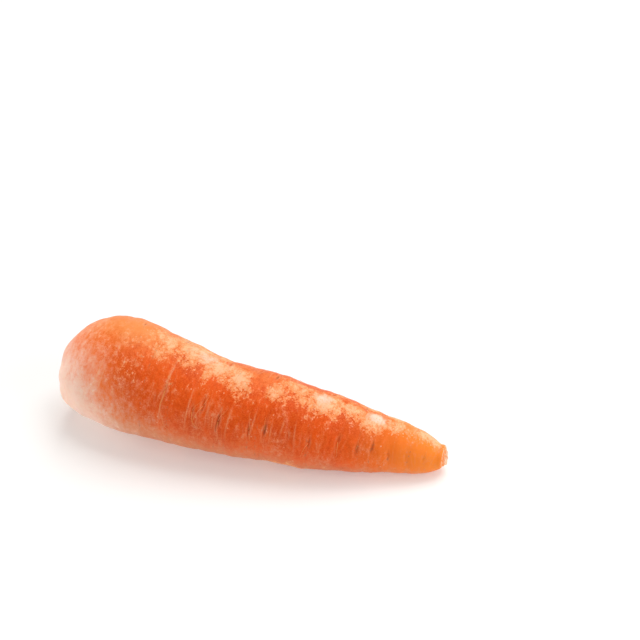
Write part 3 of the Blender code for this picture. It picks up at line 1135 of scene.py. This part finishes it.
def stub_shape(matrix, seed):
    """One cut leaf stalk, hollowed on its inner side, with ribs along it and a ragged cut."""
    foot, top = STUB_RADII
    hollow, hollow_spread = STALK_HOLLOW
    rib_height, ribs = STALK_RIBS
    ragged_height, ragged_scale, ragged_power = STALK_RAGGED
    dip_height, dip_scale, dip_drop = STALK_DIP
    points, cut = [], []
    for level in range(STALK_LEVELS + 1):
        share = level / STALK_LEVELS
        width = foot + (top - foot) * share
        for step in range(STALK_SIDES):
            angle = 2 * math.pi * step / STALK_SIDES
            x, y = math.cos(angle), math.sin(angle)
            inner = bell(turned_from(180.0, math.degrees(angle)), hollow_spread)
            radius = width * (1.0 - hollow * inner + rib_height * math.cos(ribs * angle + seed))
            rough = noise.noise((ragged_scale * x, ragged_scale * y, seed))
            ragged = ragged_height * rough * share**ragged_power
            points.append((radius * x, radius * y, share - 0.5 + ragged))
            cut.append(0.0 if level < STALK_LEVELS else STALK_RIM_CUT)
    faces = []
    for level in range(STALK_LEVELS):
        faces += band(level * STALK_SIDES, (level + 1) * STALK_SIDES, STALK_SIDES)
    for shrink in STUB_INSETS:
        last = len(points) - STALK_SIDES
        for x, y, z in points[last:]:
            rough = noise.noise((dip_scale * x, dip_scale * y, seed + DIP_SEED))
            points.append((x * shrink, y * shrink, z + (dip_height * rough - dip_drop)))
            cut.append(1.0)
        faces += band(last, last + STALK_SIDES, STALK_SIDES)
    faces.append(tuple(range(len(points) - STALK_SIDES, len(points))))
    faces.append(tuple(reversed(range(STALK_SIDES))))
    return [matrix @ Vector(point) for point in points], faces, cut


def add_stalks(shift, material):
    """The cut leaf stalks in the crown pit, on the same places as the solid's stubs."""
    draw = random.Random(STUB_SEED)
    shapes, cuts = [], []
    for count, distance, width, thickness, rise in STUB_RINGS:
        for number in range(count):
            step = number + draw.uniform(-STUB_STEP_SPREAD, STUB_STEP_SPREAD)
            turn = 2 * math.pi * step / count + distance
            share = draw.uniform(*STUB_SHARES)
            length = STUB_ROOT + rise + draw.uniform(-STUB_LENGTH_SPREAD, STUB_LENGTH_SPREAD)
            place = stub_place(turn, distance, (thickness * share, width * share, length), draw)
            seed = len(shapes) * STALK_SEED_STEP
            points, faces, cut = stub_shape(Matrix.Translation(shift) @ place, seed)
            shapes.append((points, faces))
            cuts += cut
    stalks = new_piece("leaf_stalk_stubs", *join_shapes(shapes), material)
    add_layer(stalks.data, "cut", cuts)


def add_tip_fibres(shift, material):
    """Short torn fibres round the broken end of the tap root."""
    draw = random.Random(HAIR_SEED + 1)
    shapes = []
    for _ in range(FIBRES):
        angle = draw.uniform(0.0, 360.0)
        radius = draw.choice(FIBRE_PLACES) * draw.uniform(*FIBRE_SHARES)
        along = LENGTH - FIBRE_DEPTHS[0 if radius > FIBRE_RIM else 1]
        length = draw.uniform(*FIBRE_LENGTHS)
        share = np.linspace(0.0, 1.0, len(FIBRE_RADII))
        flared = radius + FIBRE_FLARE * share**2
        points = lying_points(along + length * share, angle + FIBRE_TURN * share, flared) + shift
        shapes.append(tube(points, FIBRE_RADII, HAIR_SIDES))
    new_piece("tip_fibres", *join_shapes(shapes), material)


def back_direction(azimuth, elevation):
    """From the carrot towards a camera there; azimuth 0 looks along +Y."""
    a, e = math.radians(azimuth), math.radians(elevation)
    return Vector((math.sin(a) * math.cos(e), -math.cos(a) * math.cos(e), math.sin(e)))


def add_camera():
    """The camera at the photograph's viewing angle."""
    camera = bpy.data.objects.new("camera", bpy.data.cameras.new("camera"))
    camera.data.lens = CAMERA_LENS
    camera.data.sensor_width = CAMERA_SENSOR
    back = back_direction(CAMERA_AZIMUTH, CAMERA_ELEVATION)
    camera.location = Vector(CAMERA_AIM) + back * CAMERA_DISTANCE
    camera.rotation_euler = back.to_track_quat("Z", "Y").to_euler()
    bpy.context.scene.collection.objects.link(camera)
    bpy.context.scene.camera = camera


def add_softbox(name, azimuth, elevation, distance, size, power, colour):
    """A square area light that faces the carrot from there."""
    light = bpy.data.objects.new(name, bpy.data.lights.new(name, "AREA"))
    light.data.size = size
    light.data.energy = power
    light.data.color = colour
    direction = back_direction(azimuth, elevation)
    light.location = direction * distance
    light.rotation_euler = direction.to_track_quat("Z", "Y").to_euler()
    bpy.context.scene.collection.objects.link(light)


def add_floor():
    """A wide white floor that glows a little near the carrot and more beyond the lights."""
    mesh = bpy.data.meshes.new("floor")
    signs = [(-1, -1), (1, -1), (1, 1), (-1, 1)]
    corners = [(x * FLOOR_REACH, y * FLOOR_REACH, 0.0) for x, y in signs]
    mesh.from_pydata(corners, [], [(0, 1, 2, 3)])
    shade = Shade("white_floor")
    distance = shade.add("ShaderNodeVectorMath", {0: shade.place}, operation="LENGTH")
    glow = shade.between(distance.outputs["Value"], *FAR_FLOOR, FLOOR_GLOW, FAR_FLOOR_GLOW)
    white = shade.finish(Base_Color=FLOOR_COLOUR, Roughness=0.7, Emission_Strength=glow)
    mesh.materials.append(white)
    floor = bpy.data.objects.new("floor", mesh)
    floor.location.z = -FLOOR_DEPTH
    bpy.context.scene.collection.objects.link(floor)
    floor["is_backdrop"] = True


def add_world():
    """A dim white world with a bright band along the horizon, where the floor ends."""
    world = bpy.data.worlds.new("white_studio")
    world.use_nodes = True
    nodes, links = world.node_tree.nodes, world.node_tree.links
    height = nodes.new("ShaderNodeSeparateXYZ")
    links.new(nodes.new("ShaderNodeTexCoord").outputs["Generated"], height.inputs["Vector"])
    strength = nodes.new("ShaderNodeMapRange")
    links.new(height.outputs["Z"], strength.inputs["Value"])
    strength.inputs["From Min"].default_value = HORIZON_BAND[0]
    strength.inputs["From Max"].default_value = HORIZON_BAND[1]
    strength.inputs["To Min"].default_value = HORIZON_STRENGTH
    strength.inputs["To Max"].default_value = WORLD_STRENGTH
    links.new(strength.outputs["Result"], nodes["Background"].inputs["Strength"])
    nodes["Background"].inputs["Color"].default_value = WORLD_COLOUR
    bpy.context.scene.world = world


def add_studio():
    """White floor, soft lights and plain colour."""
    add_world()
    bpy.context.scene.view_settings.view_transform = "Standard"
    add_floor()
    for softbox in SOFTBOXES:
        add_softbox(*softbox)


def main():
    """Builds all pieces and the studio."""
    net = build_net()
    shift = add_skin(net, skin_material())
    add_hairs(net, shift, hair_material())
    add_stalks(Vector(shift), stalk_material())
    add_tip_fibres(shift, torn_material())
    add_camera()
    add_studio()
    boxes = {"cad": cad_box, "visual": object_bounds()}
    {name: [list(corner) for corner in box] for name, box in boxes.items()}


main()
